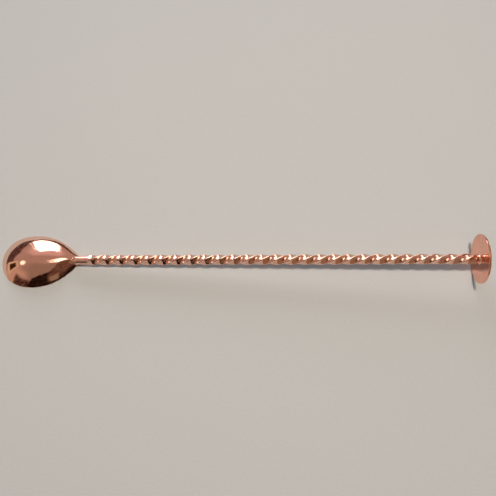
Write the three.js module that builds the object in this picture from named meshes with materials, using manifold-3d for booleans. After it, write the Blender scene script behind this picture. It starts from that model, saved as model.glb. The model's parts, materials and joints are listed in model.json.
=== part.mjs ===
// Twisted-stem bar spoon with a flat muddler disc, lying at rest on a table.
// Millimetres, +Z up, table at Z = 0. X runs along the spoon, bowl at -X and disc at +X, with
// X = 0 halfway along it. The bowl rests rim down, with its back up. The stem's plain end is
// lapped on the back of the bowl's heel and brazed there, and the disc's edge holds the other
// end up, so the stem climbs a little towards the disc.

import * as THREE from "three";
import { mergeVertices } from "three/addons/utils/BufferGeometryUtils.js";
import Module from "manifold-3d";

// ---------------------------------------------------------------- driving dimensions
const LENGTH = 270; // overall, bowl tip to disc
const GAP = 0.3; // clearance between neighbouring solids

// Bowl: pressed sheet, egg-shaped in plan, its long axis turned a little from the stem's.
const BOWL_YAW = 2.4; // degrees, towards +Y at the heel
const HALF_LENGTH = 22.3; // half the plan length
const SHIFT = 3.2; // how far the deepest point lies from the middle, towards the tip
// Half width before the sine of the angle, in rising powers of u (-1 tip, 1 heel).
const WIDTH_POWERS = [14.86, -2.93, -1.25, -2.58, -1.28];
const BOWL_RISE = 7.2; // nominal, edge of the back to its top
const BACK_Z = 8.05; // top of the back above the table
const SHEET = 1.1;
const RIM_ROUND = 0.36; // rim's bulge, as a share of the sheet

// The back's steepness at a level (0 deepest point, 1 rim) is
// first * level / sqrt(1 + (level / turn)^2) + rest * (power + 1) * level^power,
// with rest set so that it falls by 1 in all.
const SLOPE_SIDE = { first: 2.57, turn: 0.46, power: 5.7 };
const SLOPE_TIP = { first: 1.87, turn: 2.97, power: 3.0 };
const SLOPE_HEEL = { first: 1.87, turn: 0.35, power: 4.65 };

// Mesh lines of the bowl: levels on each face, and degrees round the rim from the back.
const BACK_LEVELS = [0.1, 0.2, 0.3, 0.4, 0.5, 0.6, 0.7, 0.78, 0.85, 0.9, 0.94, 0.97, 1];
const HOLLOW_LEVELS = [0.15, 0.3, 0.44, 0.58, 0.7, 0.8, 0.88, 0.95, 1];
const RIM_ANGLES = [160, 125, 90, 55, 20];
const BOWL_SEGMENTS = 40;
const STEP = 1e-4; // for differences in level or angle
const FLAT_LEVEL = 0.004; // below this level the back counts as flat

// Stem: one bar, plain and round at the bowl, twisted, with a spigot through the disc.
// Lengths along it are taken from its tip.
const ROD_RADIUS = 2.45;
const ROD_TIP_X = -94.15;
const ROD_TIP_Z = 4.06; // axis height at the tip
const ROD_TIP_LENGTH = 3.2; // rounded end
const ROD_TIP_POWER = 0.85; // below 1 makes the rounded end blunter
const ROD_TIP_ANGLES = [12, 28, 44, 60, 76, 90]; // degrees, rings of the rounded end
const NECK_LENGTH = 8.8; // tip to start of twist
const NECK_RING_BACK = 1.2; // last plain ring, short of the twist
const BAR_SIDE = 4.45; // square bar
const BAR_CORNER = 0.55;
const TWIST_PITCH = 32.2; // one full turn, left-handed
const TWIST_PHASE = -0.05; // radians
const TWIST_BLEND = 2.6; // round to bar section
const COLLAR = 1.7; // plain round length against the disc
const SPIGOT_RADIUS = 1.4;
const SPIGOT_INSET = 0.1; // spigot's end below the disc's outer face
const RINGS_PER_TURN = 26;

// Disc: flat muddler at the +X end, square to the stem.
const DISC_RADIUS = 13.69;
const DISC_THICK = 1.15;
const DISC_EDGE = 0.3; // edge rounding
const DISC_HOLE = SPIGOT_RADIUS + GAP;
const DISC_SEGMENTS = 48;

// Brazing metal.
const BOWL_BEAD = 1.0; // width and height of the bead round the lap
const BOWL_BEAD_BACK = 0.6; // bead's end, short of the twist
const BOWL_BEAD_REACH = 0.1; // how far past the rim it may go
const DISC_BEAD = 1.15; // leg of the fillet on the disc's inner face
const DISC_BEAD_SEGMENTS = 24;

// The space cleared from the stem's underside at the bowl.
const COPE_DEPTH = 6; // below the back
const COPE_REACH = 3; // past the rim

const { degToRad, clamp, smoothstep } = THREE.MathUtils;

// ---------------------------------------------------------------- solids
const wasm = await Module();
wasm.setup();

function toSolid(geometry) {
  const bare = geometry.clone();
  bare.deleteAttribute("normal");
  bare.deleteAttribute("uv");
  const merged = mergeVertices(bare, 1e-4);
  return new wasm.Manifold(
    new wasm.Mesh({
      numProp: 3,
      vertProperties: new Float32Array(merged.attributes.position.array),
      triVerts: new Uint32Array(merged.index.array),
    }),
  );
}

function toGeometry(solid) {
  const mesh = solid.getMesh();
  const positions = new Float32Array(mesh.vertProperties);
  const geometry = new THREE.BufferGeometry();
  geometry.setAttribute("position", new THREE.BufferAttribute(positions, 3));
  geometry.setIndex(new THREE.BufferAttribute(new Uint32Array(mesh.triVerts), 1));
  geometry.computeVertexNormals();
  return geometry;
}

// ---------------------------------------------------------------- bowl's back
// Angles run round the bowl from 0 at the heel to pi at the tip.

// Fall due to the first term of the steepness.
const firstFall = ({ first, turn }, level) =>
  first * turn ** 2 * (Math.sqrt(1 + (level / turn) ** 2) - 1);

// The slope's figures at an angle, mixed from the side's, the tip's and the heel's.
function slopeAt(angle) {
  const c = Math.cos(angle);
  const mix = (key) =>
    SLOPE_SIDE[key] * (1 - c * c) +
    c * c * ((SLOPE_TIP[key] * (1 - c)) / 2 + (SLOPE_HEEL[key] * (1 + c)) / 2);
  const slope = { first: mix("first"), turn: mix("turn"), power: mix("power") };
  return { ...slope, rest: 1 - firstFall(slope, 1) };
}

const rimSteepness = ({ first, turn, power, rest }) =>
  first / Math.sqrt(1 + (1 / turn) ** 2) + rest * (power + 1);

const fallen = (slope, level) =>
  firstFall(slope, level) + slope.rest * level ** (slope.power + 1);

// Plan position from the deepest point.
function plan(angle, level) {
  const u = level * Math.cos(angle);
  const halfWidth = WIDTH_POWERS.reduce((sum, factor, i) => sum + factor * u ** i, 0);
  return new THREE.Vector2(
    HALF_LENGTH * u + SHIFT * level * level,
    level * Math.sin(angle) * halfWidth,
  );
}

// How far the rounded rim reaches below the back's edge, for the rim's slope there.
function rimDrop(angle) {
  const edge = plan(angle, 1);
  const across = edge.clone().sub(plan(angle, 1 - STEP));
  const around = plan(angle + STEP, 1).sub(edge);
  // the rim's outward shift per level
  const outward = Math.abs(across.cross(around) / around.length() / STEP);
  const pitch = Math.atan((BOWL_RISE * rimSteepness(slopeAt(angle))) / outward);
  const half = 0.5 * Math.cos(pitch);
  return SHEET * (half + Math.hypot(half, RIM_ROUND * Math.sin(pitch)));
}

// A point of the back, eased down towards the rim so that the rim rests on the table.
function back(angle, level) {
  const { x, y } = plan(angle, level);
  const easing = (BACK_Z - BOWL_RISE - rimDrop(angle)) * level ** 4;
  return new THREE.Vector3(x, y, BACK_Z - BOWL_RISE * fallen(slopeAt(angle), level) - easing);
}

const alongRim = (angle, level) => back(angle + STEP, level).sub(back(angle - STEP, level));

function backNormal(angle, level) {
  if (level < FLAT_LEVEL) return new THREE.Vector3(0, 0, 1);
  return back(angle, level + STEP)
    .sub(back(angle, level - STEP))
    .cross(alongRim(angle, level))
    .normalize();
}

// A point at a depth below the back (negative is above it) and some way out along the sheet.
function shellPoint(angle, level, depth, out) {
  if (level === 0) return new THREE.Vector3(0, 0, BACK_Z - depth);
  const normal = backNormal(angle, level);
  const point = back(angle, level).addScaledVector(normal, -depth);
  if (out) point.addScaledVector(alongRim(angle, level).cross(normal).normalize(), out);
  return point;
}

// A lathe with a ring for each station [level, depth, out], each ring then drawn out to the
// egg-shaped outline.
function dish(stations) {
  const geometry = new THREE.LatheGeometry(
    stations.map(([level, depth]) => new THREE.Vector2(level, -depth)),
    BOWL_SEGMENTS,
  );
  const positions = geometry.attributes.position;
  for (let i = 0; i <= BOWL_SEGMENTS; i++) {
    const angle = ((i % BOWL_SEGMENTS) / BOWL_SEGMENTS) * 2 * Math.PI;
    stations.forEach(([level, depth, out], j) => {
      const { x, y, z } = shellPoint(angle, level, depth, out);
      positions.setXYZ(i * stations.length + j, x, y, z);
    });
  }
  return geometry.rotateZ(degToRad(BOWL_YAW));
}

// Stations from the deepest point out to the rim, all at one depth.
const face = (levels, depth) => [0, ...levels].map((level) => [level, depth, 0]);

// ---------------------------------------------------------------- bowl
function makeBowl() {
  const rim = RIM_ANGLES.map((degrees) => {
    const angle = degToRad(degrees);
    return [1, SHEET * (0.5 - 0.5 * Math.cos(angle)), SHEET * RIM_ROUND * Math.sin(angle)];
  });
  return dish([...face(HOLLOW_LEVELS, SHEET), ...rim, ...face(BACK_LEVELS, 0).reverse()]);
}

const bowlGeometry = makeBowl();
bowlGeometry.computeBoundingBox();
const { min: bowlMin, max: bowlMax } = bowlGeometry.boundingBox;
// the deepest point's place, with the tip at the spoon's end and the width centred
const BOWL_X = -LENGTH / 2 - bowlMin.x;
const BOWL_Y = -(bowlMin.y + bowlMax.y) / 2;
bowlGeometry.translate(BOWL_X, BOWL_Y, 0);

// The space between two heights above the back, reaching some way past the rim.
function aboveBack({ low, high, reach }) {
  const geometry = dish([
    ...face(BACK_LEVELS, -low),
    [1, -low, reach],
    [1, -high, reach],
    ...face(BACK_LEVELS, -high).reverse(),
  ]);
  return toSolid(geometry.translate(BOWL_X, BOWL_Y, 0));
}

// ---------------------------------------------------------------- stem line
// The stem's tilt and the distance to the disc, for a disc whose edge touches the table and
// whose far side ends the spoon. Each is worked out from the other until they settle.
function settleStem() {
  const edgeCentre = DISC_RADIUS - DISC_EDGE;
  let tilt = 0.04;
  let discAt = 229;
  for (let i = 0; i < 40; i++) {
    tilt = Math.asin(
      (edgeCentre * Math.cos(tilt) + DISC_EDGE - ROD_TIP_Z) / (discAt + DISC_EDGE),
    );
    const run = LENGTH / 2 - ROD_TIP_X - edgeCentre * Math.sin(tilt) - DISC_EDGE;
    discAt = run / Math.cos(tilt) - DISC_THICK + DISC_EDGE;
  }
  return { tilt, discAt };
}

const { tilt, discAt } = settleStem();
const shoulder = discAt - GAP;
const twistLength = shoulder - COLLAR - NECK_LENGTH;

// Parts on the stem's line are built along +X from the rod tip, then tipped up by the tilt.
const stemToSpoon = new THREE.Matrix4()
  .makeTranslation(ROD_TIP_X, 0, ROD_TIP_Z)
  .multiply(new THREE.Matrix4().makeRotationY(-tilt));

// ---------------------------------------------------------------- bar
// Section points of the bar, three to a corner, and the matching points of a unit round.
const barSection = [];
const roundSection = [];
for (let quarter = 0; quarter < 4; quarter++) {
  const sideY = quarter === 0 || quarter === 3 ? 1 : -1;
  const sideZ = quarter < 2 ? 1 : -1;
  const cornerCentre = BAR_SIDE / 2 - BAR_CORNER;
  for (let k = 0; k < 3; k++) {
    const cornerAngle = degToRad(quarter * 90 + k * 45);
    barSection.push([
      sideY * cornerCentre + BAR_CORNER * Math.cos(cornerAngle),
      sideZ * cornerCentre + BAR_CORNER * Math.sin(cornerAngle),
    ]);
    const roundAngle = degToRad(quarter * 90 + 15 + k * 30);
    roundSection.push([Math.cos(roundAngle), Math.sin(roundAngle)]);
  }
}

// Rings are [distance from the tip, radius where round, share of bar section].
// These are the rounded end's, grown outwards by a margin.
const tipRings = (grow) =>
  ROD_TIP_ANGLES.map((degrees) => {
    const angle = degToRad(degrees);
    return [
      (ROD_TIP_LENGTH + grow) * (1 - Math.cos(angle)) - grow,
      (ROD_RADIUS + grow) * Math.sin(angle) ** ROD_TIP_POWER,
      0,
    ];
  });

function stemRings() {
  const rings = [...tipRings(0), [NECK_LENGTH - NECK_RING_BACK, ROD_RADIUS, 0]];
  const steps = Math.round((twistLength / TWIST_PITCH) * RINGS_PER_TURN);
  for (let i = 0; i <= steps; i++) {
    const along = (twistLength * i) / steps;
    const blend = Math.min(along, twistLength - along) / TWIST_BLEND;
    rings.push([NECK_LENGTH + along, ROD_RADIUS, smoothstep(blend, 0, 1)]);
  }
  rings.push([shoulder, ROD_RADIUS, 0]);
  rings.push([shoulder, SPIGOT_RADIUS, 0]);
  rings.push([discAt + DISC_THICK - SPIGOT_INSET, SPIGOT_RADIUS, 0]);
  return rings;
}

// A cylinder with one row of vertices per ring, shaped ring by ring.
function bar(rings) {
  const sides = roundSection.length;
  const rows = rings.length - 1;
  const geometry = new THREE.CylinderGeometry(1, 1, rows, sides, rows, false);
  const positions = geometry.attributes.position;
  for (let i = 0; i < positions.count; i++) {
    const x = positions.getX(i);
    const z = positions.getZ(i);
    const [along, radius, share] = rings[Math.round(positions.getY(i) + rows / 2)];
    const isCapCentre = Math.hypot(x, z) < 0.5;
    if (isCapCentre) {
      positions.setXYZ(i, along, 0, 0);
      continue;
    }
    const side = (Math.round((Math.atan2(x, z) / (2 * Math.PI)) * sides) + sides) % sides;
    const [sectionY, sectionZ] = [0, 1].map(
      (axis) => (1 - share) * radius * roundSection[side][axis] + share * barSection[side][axis],
    );
    const twisted = clamp(along - NECK_LENGTH, 0, twistLength);
    const turned = TWIST_PHASE - (2 * Math.PI * twisted) / TWIST_PITCH;
    const cos = Math.cos(turned);
    const sin = Math.sin(turned);
    positions.setXYZ(
      i,
      along,
      sectionY * cos - sectionZ * sin,
      sectionY * sin + sectionZ * cos,
    );
  }
  return geometry;
}

const barSolid = (rings) => toSolid(bar(rings).applyMatrix4(stemToSpoon));

// The bar, with the underside of its end coped to the back of the bowl.
function makeStem() {
  const cope = aboveBack({ low: -COPE_DEPTH, high: GAP, reach: COPE_REACH });
  const coped = barSolid(stemRings()).subtract(cope);
  return toGeometry(coped).applyMatrix4(stemToSpoon.clone().invert());
}

// The bead of brazing metal round the lap.
function makeBowlBraze() {
  const grownRod = (grow) =>
    barSolid([...tipRings(grow), [NECK_LENGTH - BOWL_BEAD_BACK, ROD_RADIUS + grow, 0]]);
  const layer = aboveBack({ low: GAP, high: GAP + BOWL_BEAD, reach: BOWL_BEAD_REACH });
  return toGeometry(grownRod(GAP + BOWL_BEAD).intersect(layer).subtract(grownRod(GAP)));
}

// ---------------------------------------------------------------- disc and its fillet
// Turns a profile of [radius, distance] about the stem's line, distances from a place on it.
function turnedOnStem(profile, segments, place) {
  const alongX = new THREE.Matrix4().makeBasis(
    new THREE.Vector3(0, 0, 1),
    new THREE.Vector3(1, 0, 0),
    new THREE.Vector3(0, 1, 0),
  );
  const points = profile.map(([radius, distance]) => new THREE.Vector2(radius, distance));
  return new THREE.LatheGeometry(points, segments)
    .applyMatrix4(alongX)
    .translate(place, 0, 0);
}

function makeDisc() {
  const edgeArc = (distance, from) =>
    [0, 30, 60, 90].map((degrees) => {
      const angle = degToRad(from + degrees);
      return [
        DISC_RADIUS - DISC_EDGE + DISC_EDGE * Math.cos(angle),
        distance + DISC_EDGE * Math.sin(angle),
      ];
    });
  const profile = [
    [DISC_HOLE, 0],
    ...edgeArc(DISC_EDGE, -90),
    ...edgeArc(DISC_THICK - DISC_EDGE, 0),
    [DISC_HOLE, DISC_THICK],
    [DISC_HOLE, 0],
  ];
  return turnedOnStem(profile, DISC_SEGMENTS, discAt);
}

// A hollow-faced fillet round the collar.
function makeDiscBraze() {
  // [out from the foot, back from the disc], as shares of the leg
  const shares = [[0, 0], [0, 1], [0.2, 0.42], [0.42, 0.2], [1, 0], [0, 0]];
  const foot = ROD_RADIUS + GAP;
  const profile = shares.map(([out, away]) => [foot + out * DISC_BEAD, -away * DISC_BEAD]);
  return turnedOnStem(profile, DISC_BEAD_SEGMENTS, shoulder);
}

// ---------------------------------------------------------------- scene graph
const copper = ({ color, roughness }) =>
  new THREE.MeshStandardMaterial({ color, roughness, metalness: 1.0 });

function piece(name, geometry, finish) {
  const mesh = new THREE.Mesh(geometry, copper(finish));
  mesh.name = name;
  return mesh;
}

const BRAZE_FINISH = { color: 0xb97a5c, roughness: 0.3 };

const stemLine = new THREE.Group();
stemLine.position.set(ROD_TIP_X, 0, ROD_TIP_Z);
stemLine.rotation.y = -tilt;
stemLine.add(
  piece("stem", makeStem(), { color: 0xcb8c70, roughness: 0.12 }),
  piece("disc", makeDisc(), { color: 0xc98a6e, roughness: 0.1 }),
  piece("disc_braze", makeDiscBraze(), BRAZE_FINISH),
);

const spoon = new THREE.Group();
spoon.add(
  piece("bowl", bowlGeometry, { color: 0xc98a6e, roughness: 0.08 }),
  stemLine,
  piece("bowl_braze", makeBowlBraze(), BRAZE_FINISH),
);

export default spoon;
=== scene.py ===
"""A copper bar spoon: an oval bowl, a twisted bar stem and a muddler disc, brazed together.

It lies along X over the floor at z = 0, hollow down. The bowl's tip is at the -X end, the
disc at the +X end, and the camera looks down from the -Y (near) side. The spoon's sizes are
in mm and become metres through MM; floor, lights, cards and camera are in metres.
"""
import json
import math

import bpy
import numpy as np
from mathutils import Matrix, Vector


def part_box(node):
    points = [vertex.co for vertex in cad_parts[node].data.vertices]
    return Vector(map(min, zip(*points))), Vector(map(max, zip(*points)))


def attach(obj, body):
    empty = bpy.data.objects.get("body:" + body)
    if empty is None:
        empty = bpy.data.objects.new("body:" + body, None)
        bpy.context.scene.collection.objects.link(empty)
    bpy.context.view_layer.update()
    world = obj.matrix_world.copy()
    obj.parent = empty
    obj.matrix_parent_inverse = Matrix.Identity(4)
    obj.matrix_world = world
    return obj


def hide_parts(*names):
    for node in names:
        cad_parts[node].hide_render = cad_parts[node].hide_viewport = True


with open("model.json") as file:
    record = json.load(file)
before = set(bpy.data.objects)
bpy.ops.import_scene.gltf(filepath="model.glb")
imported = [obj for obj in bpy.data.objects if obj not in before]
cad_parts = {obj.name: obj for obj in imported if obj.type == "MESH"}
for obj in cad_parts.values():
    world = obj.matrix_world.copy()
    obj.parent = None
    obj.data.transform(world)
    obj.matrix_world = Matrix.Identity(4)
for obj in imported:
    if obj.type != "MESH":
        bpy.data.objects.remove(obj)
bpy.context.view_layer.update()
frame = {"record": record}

MM = 0.001


# ---------------------------------------------------------------- places in the frame (mm)
def box_mm(node):
    return [np.array(corner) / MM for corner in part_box(node)]


TIP_X = box_mm("bowl")[0][0]
mount = frame["record"]["mounts"][0]
AXIS = np.array(mount["axis"], float)  # along the stem, towards the disc
AXIS /= np.linalg.norm(AXIS)
UPWARD = np.array([-AXIS[2], 0.0, AXIS[0]])  # square to the stem, in its upright plane
disc_low, disc_high = box_mm("disc")
DISC_MID = (disc_low + disc_high) / 2
DISC_R = (disc_high[1] - disc_low[1]) / 2
# middle of the disc's outer face; distances along the stem start here, negative to the bowl
FACE = DISC_MID + AXIS * np.dot(np.array(mount["pos_m"]) / MM - DISC_MID, AXIS)
DISC_T = 2 * np.dot(FACE - DISC_MID, AXIS)
ROD_TIP = (box_mm("stem")[0][0] - FACE[0]) / AXIS[0]

# ---------------------------------------------------------------- dimensions (mm)
BOWL_YAW = math.radians(2.4)
HALF_LENGTH, SHIFT = 22.3, 3.2  # SHIFT moves the rim towards the heel
PLAN = (14.82, -2.922, -1.247, -2.573, -1.277)  # half width, as powers of the place along
RISE, TOP_Z, SHEET = 7.2, 8.05, 1.1
RIM_ROUND = 0.36  # how far the rim bulges, as a share of the sheet
# the back's fall towards the sides, tip and heel: an early bend and a late power
SIDE = dict(first=2.57, turn=0.46, power=5.7)
TIP = dict(first=1.87, turn=2.97, power=3.0)
HEEL = dict(first=1.87, turn=0.35, power=4.65)

ROD_R, ROD_ROUND, ROD_POWER = 2.45, 3.2, 0.85  # the rod's rounded end
NECK, COLLAR = 8.8, 1.7  # plain lengths at the bowl and disc ends
BAR_SIDE, BAR_CORNER = 4.45, 0.55
PITCH, BLEND, PHASE = 32.2, 2.6, -0.05  # twist; PHASE in radians
SPIGOT_R, HOLE_R, DISC_EDGE = 1.62, 1.7, 0.3

SHOULDER = -DISC_T  # the plain end of the stem meets the disc's inner face
TWIST_START, TWIST_END = ROD_TIP + NECK, SHOULDER - COLLAR

# ---------------------------------------------------------------- bowl surface
# angle: 0 is the heel; level: 0 is the deepest point and 1 the rim
STEP = 1e-4  # for slopes by differences
YAW_COS, YAW_SIN = math.cos(BOWL_YAW), math.sin(BOWL_YAW)


def unit(vectors):
    return vectors / np.linalg.norm(vectors, axis=-1, keepdims=True)


def fall_terms(cosine):
    """Early bend, its turning level, late power and the late part's share, by direction."""
    first, turn, power = (
        SIDE[key] * (1 - cosine * cosine)
        + cosine * cosine * (TIP[key] * (1 - cosine) / 2 + HEEL[key] * (1 + cosine) / 2)
        for key in ("first", "turn", "power")
    )
    return first, turn, power, 1 - first * turn**2 * (np.sqrt(1 + turn**-2) - 1)


def steepness(cosine, level):
    first, turn, power, late = fall_terms(cosine)
    return first * level / np.sqrt(1 + (level / turn) ** 2) + late * (power + 1) * level**power


def fallen(cosine, level):
    first, turn, power, late = fall_terms(cosine)
    early = first * turn**2 * (np.sqrt(1 + (level / turn) ** 2) - 1)
    return early + late * level ** (power + 1)


def half_width(along):
    return sum(k * along**i for i, k in enumerate(PLAN))


def plan(angle, level):
    """Plan position from the deepest point."""
    along = level * np.cos(angle)
    x = HALF_LENGTH * along + SHIFT * level * level
    return x, level * np.sin(angle) * half_width(along)


def rim_drop(angle):
    """How far the rounded rim reaches below the back's edge."""
    x, y = plan(angle, 1.0)
    x_in, y_in = plan(angle, 1.0 - STEP)
    x_on, y_on = plan(angle + STEP, 1.0)
    along_x, along_y = (x_on - x) / STEP, (y_on - y) / STEP
    length = np.hypot(along_x, along_y)
    # mm per level, square to the rim
    spread = np.abs((x - x_in) / STEP * along_y / length - (y - y_in) / STEP * along_x / length)
    slope = np.arctan(RISE * steepness(np.cos(angle), 1.0) / spread)
    half = 0.5 * np.cos(slope)
    return SHEET * (half + np.hypot(half, RIM_ROUND * np.sin(slope)))


def back(angle, level):
    x, y = plan(angle, level)
    settle = (TOP_Z - RISE - rim_drop(angle)) * level**4  # brings the rim's lowest line to 0
    return np.stack([x, y, TOP_Z - RISE * fallen(np.cos(angle), level) - settle], -1)


def back_normal(angle, level):
    middle = 0.004  # straight up inside this level
    safe = np.maximum(level, middle)
    outward = back(angle, safe + STEP) - back(angle, safe - STEP)
    around = back(angle + STEP, safe) - back(angle - STEP, safe)
    up = np.array([0.0, 0.0, 1.0])
    return np.where((level < middle)[..., None], up, unit(np.cross(outward, around)))


def turned(points):
    """From the bowl's own axes to the frame's, without the shift."""
    x, y, z = points[..., 0], points[..., 1], points[..., 2]
    return np.stack([x * YAW_COS - y * YAW_SIN, x * YAW_SIN + y * YAW_COS, z], -1)


def rim_points(angle, sweep):
    """Points and normals round the rim, from the back (sweep 0) to the hollow (sweep pi)."""
    level = np.ones_like(angle)
    normal = back_normal(angle, level)
    along = unit(back(angle + STEP, level) - back(angle - STEP, level))
    out = unit(np.cross(along, normal))
    cosine, sine = np.cos(sweep)[..., None], np.sin(sweep)[..., None]
    points = (
        back(angle, level)
        - normal * (SHEET * (0.5 - 0.5 * cosine))
        + out * (SHEET * RIM_ROUND * sine)
    )
    return points, unit(normal * cosine / 0.5 * RIM_ROUND + out * sine)


# where the bowl's own origin goes: tip at TIP_X, centred on y = 0, rim resting on the floor
rim_grid = np.broadcast_arrays(
    np.linspace(0, 2 * math.pi, 721)[:, None], np.linspace(0, math.pi, 91)[None, :]
)
rim_x, rim_y, rim_z = np.moveaxis(turned(rim_points(*rim_grid)[0]), -1, 0)
BOWL_AT = np.array([TIP_X - rim_x.min(), -(rim_y.min() + rim_y.max()) / 2, -rim_z.min()])


def back_at(angle, level):
    """A point of the back, in the frame."""
    return turned(back(angle, level)) + BOWL_AT


def level_of(points):
    """The bowl's angle and level at the plan places of points in the frame."""
    x, y = points[..., 0] - BOWL_AT[0], points[..., 1] - BOWL_AT[1]
    x, y = x * YAW_COS + y * YAW_SIN, y * YAW_COS - x * YAW_SIN
    low, high = np.full(x.shape, 1e-3), np.full(x.shape, 1.6)
    for _ in range(48):
        level = (low + high) / 2
        along = (x - SHIFT * level * level) / HALF_LENGTH
        cosine = along / level
        sine = y / (level * np.maximum(half_width(along), 1.0))
        beyond = cosine**2 + sine**2 > 1
        low, high = np.where(beyond, level, low), np.where(beyond, high, level)
    return np.arctan2(sine, cosine), level


# ---------------------------------------------------------------- mesh helpers
def link(thing):
    bpy.context.scene.collection.objects.link(thing)
    return thing


def mesh_object(name, verts, faces, normals=None):
    """A smooth object from points in mm."""
    mesh = bpy.data.meshes.new(name)
    mesh.from_pydata([tuple(point) for point in verts * MM], [], faces)
    mesh.validate()
    mesh.polygons.foreach_set("use_smooth", [True] * len(mesh.polygons))
    mesh.update()
    if normals is not None:
        mesh.normals_split_custom_set_from_vertices([tuple(normal) for normal in normals])
    return link(bpy.data.objects.new(name, mesh))


def flat_object(name, outline):
    """One flat face from points in metres."""
    mesh = bpy.data.meshes.new(name)
    mesh.from_pydata(outline, [], [tuple(range(len(outline)))])
    return link(bpy.data.objects.new(name, mesh))


def lofted(rings, caps=(), wrap=False, flip=False):
    """Joins closed rings of points. Caps are the points that close the first and last ring;
    wrap joins the last ring to the first."""
    rings = np.asarray(rings)
    count, size = rings.shape[:2]
    verts = np.vstack([rings.reshape(-1, 3), *caps])
    faces = []
    for i in range(count if wrap else count - 1):
        row, following = i * size, (i + 1) % count * size
        for j in range(size):
            k = (j + 1) % size
            faces.append((row + j, row + k, following + k, following + j))
    if len(caps):
        start, end = count * size, count * size + 1
        last = (count - 1) * size
        faces += [((j + 1) % size, j, start) for j in range(size)]
        faces += [(end, last + j, last + (j + 1) % size) for j in range(size)]
    if flip:
        faces = [face[::-1] for face in faces]
    return verts, faces


# ---------------------------------------------------------------- bowl
def make_bowl():
    """Over the back from the middle, round the rim and up the hollow."""
    angles = np.linspace(0, 2 * math.pi, 256, endpoint=False)
    levels = np.concatenate([np.linspace(0.012, 0.8, 56), np.linspace(0.8, 1.0, 30)[1:]])
    outer = []
    for level in levels:
        here = np.full(angles.shape, level)
        outer.append((back(angles, here), back_normal(angles, here)))
    rim = [
        rim_points(angles, np.full(angles.shape, sweep))
        for sweep in np.linspace(0, math.pi, 15)[1:-1]
    ]
    inner = [(points - normals * SHEET, -normals) for points, normals in outer[::-1]]
    rings, normals = (np.array(part) for part in zip(*(outer + rim + inner)))
    caps = np.array([[0, 0, TOP_Z], [0, 0, TOP_Z - SHEET]]) + BOWL_AT
    verts, faces = lofted(turned(rings) + BOWL_AT, caps, flip=True)
    normals = np.vstack([turned(normals).reshape(-1, 3), (0, 0, 1), (0, 0, -1)])
    return mesh_object("bowl_shell", verts, faces, normals)


bowl = make_bowl()


# ---------------------------------------------------------------- stem
def on_line(along, side, up):
    """Points at a distance along the stem, off its axis by side (+Y) and up."""
    along, side, up = (part[..., None] for part in np.broadcast_arrays(along, side, up))
    return FACE + along * AXIS + side * np.array([0, 1.0, 0]) + up * UPWARD


def bar_section(count):
    """Points round the square bar: in each quarter, a rounded corner and then a flat."""
    core = BAR_SIDE / 2 - BAR_CORNER
    arc = count // 4 // 2
    flat = count // 4 - arc
    points = []
    for quarter, (x, y) in enumerate(((core, core), (-core, core), (-core, -core), (core, -core))):
        for k in range(arc):
            angle = math.radians(quarter * 90 + 90 * k / (arc - 1))
            points.append((x + BAR_CORNER * math.cos(angle), y + BAR_CORNER * math.sin(angle)))
        start = np.array(points[-1])
        end = np.array((-x, start[1]) if quarter % 2 == 0 else (start[0], -y))
        for k in range(1, flat + 1):
            share = k / (flat + 1)
            points.append(tuple(start * (1 - share) + end * share))
    return np.array(points)


def smooth(share):
    share = np.clip(share, 0, 1)
    return share * share * (3 - 2 * share)


def rod_radius(along):
    short = np.clip(1 - (along - ROD_TIP) / ROD_ROUND, 0, 1)
    return ROD_R * np.maximum(1 - short * short, 1e-6) ** (ROD_POWER / 2)


TIP_RINGS = 22  # rings on the rounded end


def stem_stations():
    """Rows of distance along, round radius and share of the square section."""
    tip = ROD_TIP + ROD_ROUND * (1 - np.cos(np.radians(np.linspace(6, 90, TIP_RINGS))))
    neck = np.linspace(ROD_TIP + ROD_ROUND, TWIST_START, 20)[1:]
    steps = int(round((TWIST_END - TWIST_START) / PITCH * 144))  # 144 to a full turn
    twist = np.linspace(TWIST_START, TWIST_END, steps + 1)[1:]
    plain_end = SHOULDER - 0.02
    collar = np.linspace(TWIST_END, plain_end, 6)[1:]
    # distance along, and how much the spigot's edge is rounded off there
    spigot = ((plain_end, 0.0), (-0.12, 0.0), (-0.04, 0.03), (-0.01, 0.12), (0.0, 0.3))
    rows = [(s, rod_radius(s), 0.0) for s in tip]
    rows += [(s, ROD_R, 0.0) for s in neck]
    rows += [(s, ROD_R, smooth(min(s - TWIST_START, TWIST_END - s) / BLEND)) for s in twist]
    rows += [(s, ROD_R, 0.0) for s in collar]
    return rows + [(s, SPIGOT_R - less, 0.0) for s, less in spigot]


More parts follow.
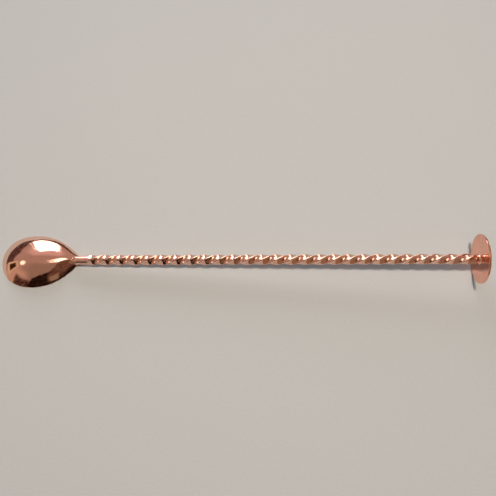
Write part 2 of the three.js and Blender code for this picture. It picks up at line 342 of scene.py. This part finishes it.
def make_stem():
    square = bar_section(64)
    circle = unit(square)
    rings = []
    for along, radius, share in stem_stations():
        twisted = np.clip(along - TWIST_START, 0, TWIST_END - TWIST_START)
        turn = PHASE - 2 * math.pi * twisted / PITCH
        y, z = ((1 - share) * radius * circle + share * square).T
        side = y * math.cos(turn) - z * math.sin(turn)
        rings.append(on_line(along, side, y * math.sin(turn) + z * math.cos(turn)))
    rings = np.array(rings)

    # the underside of the lapped end follows the back of the bowl and stops inside its sheet
    sunk, margin = 0.3, 2
    near = rings[..., 0] < BOWL_AT[0] + HALF_LENGTH + SHIFT + margin
    angle, level = level_of(rings)
    floor_z = back_at(angle, np.minimum(level, 1.0))[..., 2] - sunk
    z = rings[..., 2]
    rings[..., 2] = np.where(near & (level < 1.0), np.maximum(z, floor_z), z)
    verts, faces = lofted(rings, (rings[0].mean(0), rings[-1].mean(0)))
    stem = mesh_object("stem_bar", verts, faces)

    # groove: 0 at the twisted corners, 1 on the middle of the flats
    crest_r, groove_power = 2.85, 1.5
    away = np.linalg.norm(np.cross(verts - FACE, AXIS), axis=1)
    groove = np.clip((crest_r - away) / (crest_r - BAR_SIDE / 2), 0, 1) ** groove_power
    groove[: TIP_RINGS * len(square)] = 0.0
    # plain: 1 on the neck, fading out as the twist starts
    fade_before, fade_length = 1.5, 4.0
    plain = 1 - smooth(((verts - FACE) @ AXIS - TWIST_START + fade_before) / fade_length)
    for name, values in (("groove", groove), ("plain", plain)):
        attribute = stem.data.attributes.new(name, "FLOAT", "POINT")
        attribute.data.foreach_set("value", values)
    return stem


stem = make_stem()

# ---------------------------------------------------------------- disc
disc_angles = np.linspace(0, 2 * math.pi, 192, endpoint=False)


def circle_at(along, radius, angles):
    return on_line(along, radius * np.cos(angles), radius * np.sin(angles))


def make_disc():
    """A profile of (radius, height over the inner face), swept round the stem's axis."""
    edge, bevel = DISC_EDGE, 0.05
    flat = np.linspace(HOLE_R + 0.6, DISC_R - edge, 14)
    arc = [(edge * math.sin(t), edge * math.cos(t)) for t in np.radians(np.linspace(0, 90, 9))]
    profile = [(HOLE_R, bevel), (HOLE_R + bevel, 0.0)]
    profile += [(radius, 0.0) for radius in flat]
    profile += [(DISC_R - edge + sine, edge - cosine) for sine, cosine in arc[1:]]
    profile += [(DISC_R - edge + cosine, DISC_T - edge + sine) for sine, cosine in arc]
    profile += [(radius, DISC_T) for radius in flat[::-1][1:]]
    profile += [(HOLE_R + bevel, DISC_T), (HOLE_R, DISC_T - bevel)]
    rings = [circle_at(SHOULDER + height, radius, disc_angles) for radius, height in profile]
    return mesh_object("muddler_disc", *lofted(rings, wrap=True, flip=True))


disc = make_disc()


# ---------------------------------------------------------------- brazing metal
def fillet_ring(name, on_a, on_b, corner, buried):
    """A closed ring whose visible side is a hollow curve from on_a to on_b."""
    rows = [
        (1 - share) ** 2 * on_a + 2 * share * (1 - share) * corner + share**2 * on_b
        for share in np.linspace(0, 1, 11)
    ]
    return mesh_object(name, *lofted(np.stack(rows + [buried], 1), wrap=True))


def make_disc_fillet():
    leg = 1.0
    angles = disc_angles[::2]
    return fillet_ring(
        "disc_fillet",
        on_a=circle_at(SHOULDER - leg, ROD_R, angles),
        on_b=circle_at(SHOULDER, ROD_R + leg, angles),
        corner=circle_at(SHOULDER, ROD_R, angles),
        buried=circle_at(SHOULDER + 0.1, ROD_R - 0.2, angles),
    )


def rod_point(along, angles):
    radius = rod_radius(along)
    return on_line(along, radius * np.sin(angles), radius * np.cos(angles))


def make_lap_fillet():
    """Follows the seam where the rod's end meets the back of the bowl."""
    leg, inset, depth, nudge = 0.75, 0.02, 0.25, 1e-3
    angles = np.linspace(0, 2 * math.pi, 120, endpoint=False)
    low, seam = np.full(angles.shape, ROD_TIP + 1e-3), np.full(angles.shape, ROD_TIP + 6.0)
    for _ in range(40):
        middle = (low + seam) / 2
        points = rod_point(middle, angles)
        angle, level = level_of(points)
        above = points[..., 2] - back_at(angle, np.minimum(level, 1.3))[..., 2] > 0
        low, seam = np.where(above, low, middle), np.where(above, middle, seam)

    points = rod_point(seam, angles)
    around = rod_point(seam, angles + nudge) - rod_point(seam, angles - nudge)
    onward = rod_point(seam + nudge, angles) - rod_point(seam - nudge, angles)
    rod_normal = unit(np.cross(around, onward))
    outward = points - on_line(seam, 0, 0)
    rod_normal *= np.sign(np.sum(rod_normal * outward, -1, keepdims=True))
    angle, level = level_of(points)
    bowl_normal = turned(back_normal(angle, np.minimum(level, 1.0)))
    tangent = unit(np.roll(points, -1, 0) - np.roll(points, 1, 0))

    def foot(normal, other):
        """A leg from the seam along one surface, away from the other."""
        away = np.cross(normal, tangent)
        away *= np.sign(np.sum(away * other, -1, keepdims=True))
        return points + unit(away) * leg - normal * inset

    return fillet_ring(
        "lap_fillet",
        on_a=foot(rod_normal, bowl_normal),
        on_b=foot(bowl_normal, rod_normal),
        corner=points,
        buried=points - depth * rod_normal - depth * bowl_normal,
    )


disc_braze = make_disc_fillet()
bowl_braze = make_lap_fillet()

# ---------------------------------------------------------------- node helpers
FALL = (1.0, 0.0)


class Net:
    """Shorthand for building a node tree."""

    def __init__(self, tree):
        self.nodes, self.links = tree.nodes, tree.links
        self.nodes.clear()

    def node(self, kind, inputs=(), **props):
        node = self.nodes.new(kind)
        for key, value in props.items():
            setattr(node, key, value)
        for key, value in dict(inputs).items():
            socket = node.inputs[key]
            if isinstance(value, bpy.types.NodeSocket):
                self.links.new(value, socket)
            elif isinstance(value, tuple) and socket.type == "RGBA":
                socket.default_value = (*value, 1)
            else:
                socket.default_value = value
        return node

    def coords(self, kind="Object"):
        return self.node("ShaderNodeTexCoord").outputs[kind]

    def math(self, operation, a, b=0.0):
        return self.node("ShaderNodeMath", {0: a, 1: b, 2: 0.0}, operation=operation).outputs[0]

    def plus(self, a, b):
        return self.math("ADD", a, b)

    def minus(self, a, b):
        return self.math("SUBTRACT", a, b)

    def times(self, first, *others):
        for other in others:
            first = self.math("MULTIPLY", first, other)
        return first

    def ramp(self, x, span, ends=(0.0, 1.0)):
        """Eases from one end value to the other as x crosses the span."""
        inputs = {0: x, 1: span[0], 2: span[1], 3: ends[0], 4: ends[1]}
        return self.node("ShaderNodeMapRange", inputs, interpolation_type="SMOOTHSTEP").outputs[0]

    def band(self, x, span, soft):
        """1 inside the span, with soft edges."""
        low, high = span
        rise = self.ramp(x, (low - soft, low + soft))
        return self.times(rise, self.ramp(x, (high - soft, high + soft), FALL))

    def noise(self, vector, scale, detail=3.0, rough=0.55, warp=0.0):
        inputs = {"Vector": vector, "Scale": scale, "Detail": detail}
        inputs.update({"Roughness": rough, "Distortion": warp})
        return self.node("ShaderNodeTexNoise", inputs).outputs[0]

    def mix(self, share, under, over):
        inputs = {0: share, 6: under, 7: over}
        return self.node("ShaderNodeMix", inputs, data_type="RGBA").outputs[2]

    def vector(self, operation, inputs, output=0):
        return self.node("ShaderNodeVectorMath", inputs, operation=operation).outputs[output]

    def finish(self, kind, inputs):
        shader = self.node(kind, inputs)
        self.node("ShaderNodeOutputMaterial", {0: shader.outputs[0]})


def new_material(name):
    material = bpy.data.materials.new(name)
    material.use_nodes = True
    return material, Net(material.node_tree)


# ---------------------------------------------------------------- copper
# rotation (radians) and scale of the stretched noise behind each set of scratches
SCRATCH_SETS = (
    ((0.3, 0.2, 0.5), (260, 7000, 5200)),
    ((0.1, 0.6, -0.7), (330, 6100, 6800)),
    ((-0.4, 0.2, 1.35), (210, 8200, 5600)),
)
# what each mark adds to the roughness
ROUGHER = dict(smudge=0.06, scratch=0.12, groove=0.08, plain=0.24, grain=0.12)
# height of each mark, in units of BUMP_M
HEIGHT = dict(fine=0.9, broad=2.2, scratch=0.25, turning=0.35)
BUMP_M = 0.000012
GROOVE_TONE, GROOVE_SHARE = (0.50, 0.24, 0.15), 0.4
BLOTCH_SHARE, BLOTCH_DARK = 0.6, 0.82
TURNING_SCALE = 5200.0  # turning marks, per metre of radius


def scratches(net, place):
    """Thin crests of strongly stretched noise, in patches."""
    lines = None
    for turn, scale in SCRATCH_SETS:
        inputs = {"Vector": place, "Rotation": turn, "Scale": scale}
        stretched = net.node("ShaderNodeMapping", inputs).outputs[0]
        crest = net.ramp(net.noise(stretched, scale=1.0, detail=1.0, rough=0.4), span=(0.66, 0.74))
        lines = crest if lines is None else net.math("MAXIMUM", lines, crest)
    return net.times(lines, net.ramp(net.noise(place, scale=120), span=(0.42, 0.62)))


def turning_marks(net, place):
    """Circles about the stem's axis."""
    centre = tuple(float(k) * MM for k in DISC_MID)
    from_centre = net.vector("SUBTRACT", {0: place, 1: centre})
    off = net.vector("CROSS_PRODUCT", {0: from_centre, 1: tuple(float(k) for k in AXIS)})
    radius = net.vector("LENGTH", {0: off}, "Value")
    ring = net.node("ShaderNodeCombineXYZ", {0: net.times(radius, TURNING_SCALE)}).outputs[0]
    return net.noise(ring, scale=1.0, detail=2.0, rough=0.6)


def copper(name, base, worn, rough, scratch=1.0, ripple=1.0, grime=0.25,
           groove=False, turning=False, pits=0.0):
    """Polished copper: tone drift, finger smudges, fine scratches and a faint ripple."""
    material, net = new_material(name)
    place = net.coords()

    drift = net.ramp(net.noise(place, scale=55, detail=4), span=(0.38, 0.72))
    blotch = net.noise(place, scale=210, detail=5, rough=0.6, warp=0.6)
    blotch = net.ramp(blotch, span=(0.5, 0.72))
    tone = net.mix(net.times(drift, grime), base, worn)
    stain = tuple(BLOTCH_DARK * k for k in worn)
    tone = net.mix(net.times(blotch, grime * BLOTCH_SHARE), tone, stain)

    lines = net.times(scratches(net, place), scratch)
    smudge = net.noise(place, scale=95, detail=6, rough=0.65, warp=1.2)
    smudge = net.ramp(smudge, span=(0.5, 0.68))
    roughness = net.plus(rough, net.times(smudge, ROUGHER["smudge"]))
    roughness = net.plus(roughness, net.times(lines, ROUGHER["scratch"]))
    if groove:
        deep = net.node("ShaderNodeAttribute", attribute_name="groove").outputs["Fac"]
        uneven = net.noise(place, scale=400, detail=4)
        deep = net.times(deep, net.ramp(uneven, span=(0.2, 0.7), ends=(0.45, 1.0)))
        tone = net.mix(net.times(deep, GROOVE_SHARE), tone, GROOVE_TONE)
        roughness = net.plus(roughness, net.times(deep, ROUGHER["groove"]))
        plain = net.node("ShaderNodeAttribute", attribute_name="plain").outputs["Fac"]
        roughness = net.plus(roughness, net.times(plain, ROUGHER["plain"]))

    height = net.times(net.noise(place, scale=420, rough=0.5), HEIGHT["fine"] * ripple)
    broad = net.noise(place, scale=95, detail=2, rough=0.5)
    height = net.plus(height, net.times(broad, HEIGHT["broad"] * ripple))
    height = net.minus(height, net.times(lines, HEIGHT["scratch"]))
    if pits:
        grain = net.noise(place, scale=1500, detail=5, rough=0.65)
        height = net.plus(height, net.times(grain, pits))
        grain = net.ramp(grain, span=(0.4, 0.7))
        roughness = net.plus(roughness, net.times(grain, ROUGHER["grain"]))
    if turning:
        height = net.plus(height, net.times(turning_marks(net, place), HEIGHT["turning"]))
    bump = {"Strength": 1.0, "Distance": BUMP_M, "Height": height}
    skin = {"Base Color": tone, "Metallic": 1.0, "Roughness": roughness}
    skin["Normal"] = net.node("ShaderNodeBump", bump).outputs[0]
    net.finish("ShaderNodeBsdfPrincipled", skin)
    return material


COPPER, WORN = (0.94, 0.61, 0.49), (0.86, 0.49, 0.36)
for thing, settings in (
    (bowl, dict(name="polished_copper_bowl", base=COPPER, worn=WORN, rough=0.05)),
    (stem, dict(name="twisted_copper_bar", base=COPPER, worn=WORN, rough=0.09,
                scratch=0.6, ripple=0.7, grime=0.35, groove=True)),
    (disc, dict(name="polished_copper_disc", base=(0.88, 0.45, 0.33), worn=(0.62, 0.27, 0.17),
                rough=0.13, grime=0.6, turning=True)),
    (disc_braze, dict(name="braze_metal_disc", base=(0.88, 0.53, 0.40), worn=WORN, rough=0.16,
                      scratch=0.3, ripple=3.0, grime=0.6, pits=2.0)),
    (bowl_braze, dict(name="braze_metal_bowl", base=(0.90, 0.56, 0.43), worn=WORN, rough=0.12,
                      scratch=0.3, ripple=3.0, grime=0.5, pits=1.5)),
):
    thing.data.materials.append(copper(**settings))

for thing, node, slot in (
    (bowl, "bowl", "polished_copper"),
    (stem, "stem", "twisted_copper"),
    (disc, "disc", "polished_copper"),
    (bowl_braze, "bowl_braze", "braze"),
    (disc_braze, "disc_braze", "braze"),
):
    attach(thing, "root")
    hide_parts(node)


# ---------------------------------------------------------------- floor
def make_floor():
    floor = flat_object("floor", [(-2, -2, 0), (2, -2, 0), (2, 2, 0), (-2, 2, 0)])
    material, net = new_material("pale_floor")
    speckle = net.ramp(net.noise(net.coords(), scale=900), span=(0.3, 0.7))
    tone = net.mix(speckle, under=(0.560, 0.536, 0.508), over=(0.585, 0.561, 0.533))
    skin = {"Base Color": tone, "Roughness": 0.95, "Specular IOR Level": 0.1}
    net.finish("ShaderNodeBsdfPrincipled", skin)
    floor.data.materials.append(material)


make_floor()


# ---------------------------------------------------------------- world
def make_room():
    """A soft warm room for the reflections, darker low down and on the near side."""
    world = bpy.data.worlds.new("room")
    bpy.context.scene.world = world
    world.use_nodes = True
    net = Net(world.node_tree)
    ramp, band, mix, times = net.ramp, net.band, net.mix, net.times
    x, y, z = net.node("ShaderNodeSeparateXYZ", {0: net.coords("Generated")}).outputs
    # angles in degrees: el up, az from +X towards +Y, far from +Y towards -X
    to_degrees = 180 / math.pi
    el = times(net.math("ARCSINE", z), to_degrees)
    az = times(net.math("ARCTAN2", y, x), to_degrees)
    far = times(net.math("ARCTAN2", times(x, -1.0), y), to_degrees)

    colour = mix(ramp(el, span=(25, 60)), under=(0.42, 0.285, 0.245), over=(0.40, 0.265, 0.222))
    near_side = times(ramp(el, span=(84, 66)), band(az, span=(-150, -30), soft=25))
    colour = mix(near_side, colour, over=(0.29, 0.20, 0.155))
    # low band to the far left, its top edge falling towards the window
    top = net.math("MINIMUM", 25.0, net.minus(far, 24.0))
    below = ramp(net.minus(el, top), span=(-3, 3), ends=FALL)
    low = times(below, band(far, span=(28, 86), soft=2))
    fine = net.noise(net.coords("Generated"), scale=34, detail=4, rough=0.65)
    mottle = ramp(fine, span=(0.5, 0.68))
    mottle = mix(mottle, under=(0.045, 0.019, 0.014), over=(0.42, 0.25, 0.21))
    colour = mix(low, colour, mottle)
    # low band to the far right
    low = times(ramp(el, span=(5, 11), ends=FALL), band(far, span=(-60, 6), soft=4))
    colour = mix(low, colour, over=(0.09, 0.045, 0.03))
    # a pink glow, and the tall window with slanting left and top edges
    glow = times(band(far, span=(-12, 36), soft=8), band(el, span=(26, 56), soft=9))
    colour = mix(glow, colour, over=(0.66, 0.44, 0.40))
    left = net.minus(33.1, times(el, 0.4))
    high = net.minus(el, net.plus(31.0, times(far, 0.6)))
    pane = times(
        ramp(el, span=(9, 12)),
        ramp(high, span=(-5, 3), ends=FALL),
        ramp(net.minus(far, left), span=(-1, 1), ends=FALL),
        ramp(far, span=(-5, 1)),
    )
    colour = mix(pane, colour, over=(7.0, 6.85, 6.7))
    # a pale strip beside its left edge
    beside = band(el, span=(9, 34), soft=3)
    strip = times(beside, band(net.minus(far, left), span=(3.2, 5.2), soft=0.9))
    colour = mix(strip, colour, over=(1.05, 0.86, 0.80))
    # paler low down on the left
    low = times(ramp(el, span=(30, 48), ends=FALL), band(far, span=(95, 138), soft=8))
    colour = mix(low, colour, over=(0.53, 0.36, 0.27))
    # a small dark shape in a pale surround, to the left
    surround = times(band(far, span=(84, 110), soft=2), band(el, span=(8, 40), soft=2))
    colour = mix(surround, colour, over=(0.66, 0.50, 0.33))
    shape = times(band(far, span=(90, 107), soft=1.5), band(el, span=(14, 35), soft=2))
    colour = mix(shape, colour, over=(0.045, 0.02, 0.008))
    # mottled dark to the near left
    low = times(ramp(el, span=(22, 30), ends=FALL), band(az, span=(-146, -117), soft=3))
    mottle = ramp(fine, span=(0.47, 0.66))
    mottle = mix(mottle, under=(0.03, 0.012, 0.007), over=(0.30, 0.16, 0.12))
    colour = mix(low, colour, mottle)
    # seen directly, past the floor's edge, it is plain
    direct = net.node("ShaderNodeLightPath").outputs["Is Camera Ray"]
    colour = mix(direct, colour, over=(0.56, 0.535, 0.507))
    background = net.node("ShaderNodeBackground", {0: colour, 1: 1.0})
    net.node("ShaderNodeOutputWorld", {0: background.outputs[0]})
    world.cycles_visibility.diffuse = False


make_room()


# ---------------------------------------------------------------- lights
def area(name, direction, distance, size, glow, colour,
         along=(0, 0, 1), shape="RECTANGLE", about=(0, 0, 0)):
    """A lamp in a direction from a place, its second side along a given one. Glow is its
    radiance."""
    away = Vector(direction).normalized()
    side = Vector(along).cross(away).normalized()
    data = bpy.data.lights.new(name, "AREA")
    data.shape = shape
    data.size, data.size_y = size
    square = size[0] * size[1] * (math.pi / 4 if shape == "ELLIPSE" else 1)
    data.energy = glow * math.pi * square
    data.color = colour
    lamp = link(bpy.data.objects.new(name, data))
    turn = Matrix((side, away.cross(side), away)).transposed().to_4x4()
    lamp.matrix_world = Matrix.Translation(Vector(about) + away * distance) @ turn
    return lamp


def aim(azimuth, elevation):
    az, el = math.radians(azimuth), math.radians(elevation)
    return (math.cos(el) * math.cos(az), math.cos(el) * math.sin(az), math.sin(el))


# soft-edged lamps over the bowl and to its left: a core and a wider, dimmer rim each
BOWL_PLACE = tuple(BOWL_AT * MM)
for name, glow, size in (("lamp_over", 2.6, (0.27, 0.56)), ("lamp_over_rim", 0.9, (0.42, 0.74))):
    area(name, direction=(0.215, 0.045, 0.97), distance=1.03, size=size, glow=glow,
         colour=(1.0, 0.90, 0.72), along=(0.32, 0.65, -0.08), shape="ELLIPSE", about=BOWL_PLACE)
for name, glow, size in (("lamp_left", 1.6, (0.30, 0.46)), ("lamp_left_rim", 0.6, (0.48, 0.72))):
    area(name, direction=(-0.615, -0.09, 0.785), distance=2.0, size=size, glow=glow,
         colour=(1.0, 0.90, 0.74), along=(0, 1, 0), shape="ELLIPSE", about=BOWL_PLACE)
# the floor's own light, left out of the reflections: a small key, a low window, a soft fill
for lamp in (
    area("key_over", direction=(0.08, 0.06, 1.0), distance=1.0, size=(0.10, 0.10), glow=255.0,
         colour=(1.0, 0.95, 0.87), along=(0, 1, 0), shape="ELLIPSE"),
    area("floor_window", direction=aim(azimuth=103, elevation=19), distance=2.0,
         size=(1.0, 0.8), glow=8.5, colour=(0.88, 0.97, 1.15)),
    area("floor_fill", direction=(0.0, 0.1, 1.0), distance=1.5, size=(2.6, 2.6), glow=0.12,
         colour=(0.86, 0.95, 1.10), along=(0, 1, 0)),
):
    lamp.visible_glossy = False
# a broad soft light to the far right that only the stem reflects
stem_light = area("stem_far", direction=aim(azimuth=66, elevation=20), distance=2.0,
                  size=(1.0, 0.7), glow=2.2, colour=(1.0, 0.93, 0.90))
stem_only = bpy.data.collections.new("stem_only")
stem_only.objects.link(stem)
stem_light.light_linking.receiver_collection = stem_only


# ---------------------------------------------------------------- cards
def stage_card(card, material):
    """Leaves the card to the reflections only."""
    card.data.materials.append(material)
    card.visible_camera = card.visible_diffuse = card.visible_shadow = False


def make_near_card():
    """Upright on the near side: black, then reddish dark with a tan patch."""
    outline = (  # x, z
        (-0.227, 0.0), (0.14, 0.0), (0.14, 0.37), (0.04, 0.39),
        (-0.043, 0.34), (-0.088, 0.241), (-0.141, 0.232), (-0.227, 0.154),
    )
    card = flat_object("card", [(x, -0.20, z) for x, z in outline])
    material, net = new_material("dark_card")
    place = net.coords()
    x, _, z = net.node("ShaderNodeSeparateXYZ", {0: place}).outputs
    patchy = net.ramp(net.noise(place, scale=24, detail=4), span=(0.4, 0.7))
    red = net.mix(patchy, under=(0.10, 0.045, 0.030), over=(0.24, 0.135, 0.095))
    lean = 0.3  # the black foot rises towards +X
    height = net.ramp(net.minus(z, net.times(x, lean)), span=(0.05, 0.16))
    red = net.mix(height, under=(0.012, 0.006, 0.004), over=red)
    right = net.ramp(x, span=(-0.098, -0.078))
    patchy = net.ramp(net.noise(place, scale=30, detail=4), span=(0.5, 0.72))
    dark = net.mix(patchy, under=(0.012, 0.005, 0.003), over=(0.06, 0.028, 0.018))
    tone = net.mix(right, dark, red)
    patch = net.band(x, span=(-0.077, -0.025), soft=0.006)
    patch = net.times(patch, net.band(z, span=(0.080, 0.158), soft=0.012))
    tone = net.mix(patch, tone, over=(0.27, 0.20, 0.13))
    # brown where the disc half of the stem sees it, by where the ray set out
    incoming = net.node("ShaderNodeNewGeometry").outputs["Incoming"]
    back_x = net.node("ShaderNodeSeparateXYZ", {0: incoming}).outputs[0]
    length = net.node("ShaderNodeLightPath").outputs["Ray Length"]
    start_x = net.plus(x, net.times(back_x, length))
    tone = net.mix(net.ramp(start_x, span=(-0.035, 0.03)), tone, over=(0.30, 0.19, 0.118))
    net.finish("ShaderNodeEmission", {0: tone, 1: 1.0})
    stage_card(card, material)


def make_over_card():
    """Level, a little higher than the camera."""
    outline = (  # x, y
        (-0.055, -0.195), (0.13, -0.195), (0.13, -0.012), (-0.004, -0.012), (-0.05, -0.10),
    )
    card = flat_object("card_over", [(x, y, 0.318) for x, y in outline])
    material, net = new_material("brown_card")
    patchy = net.ramp(net.noise(net.coords(), scale=22, detail=4), span=(0.4, 0.65))
    tone = net.mix(patchy, under=(0.09, 0.045, 0.024), over=(0.20, 0.11, 0.07))
    net.finish("ShaderNodeEmission", {0: tone, 1: 1.0})
    stage_card(card, material)


make_near_card()
make_over_card()


# ---------------------------------------------------------------- camera
def make_camera():
    data = bpy.data.cameras.new("camera")
    camera = link(bpy.data.objects.new("camera", data))
    data.sensor_width = 36.0
    data.lens = 38.467742
    data.clip_start = 0.01
    yaw, down, distance = math.radians(0.38), math.radians(75.0), 0.3073
    target = Vector((0.00590, 0.00903, 0.0))
    ahead = Vector((-math.sin(yaw), math.cos(yaw), 0))
    right = Vector((math.cos(yaw), math.sin(yaw), 0))
    look = ahead * math.cos(down) - Vector((0, 0, 1)) * math.sin(down)
    turn = Matrix((right, right.cross(look), -look)).transposed().to_4x4()
    camera.matrix_world = Matrix.Translation(target - look * distance) @ turn
    bpy.context.scene.camera = camera


make_camera()
view = bpy.context.scene.view_settings
view.view_transform = "Standard"
view.look = "None"
view.exposure = 0.0
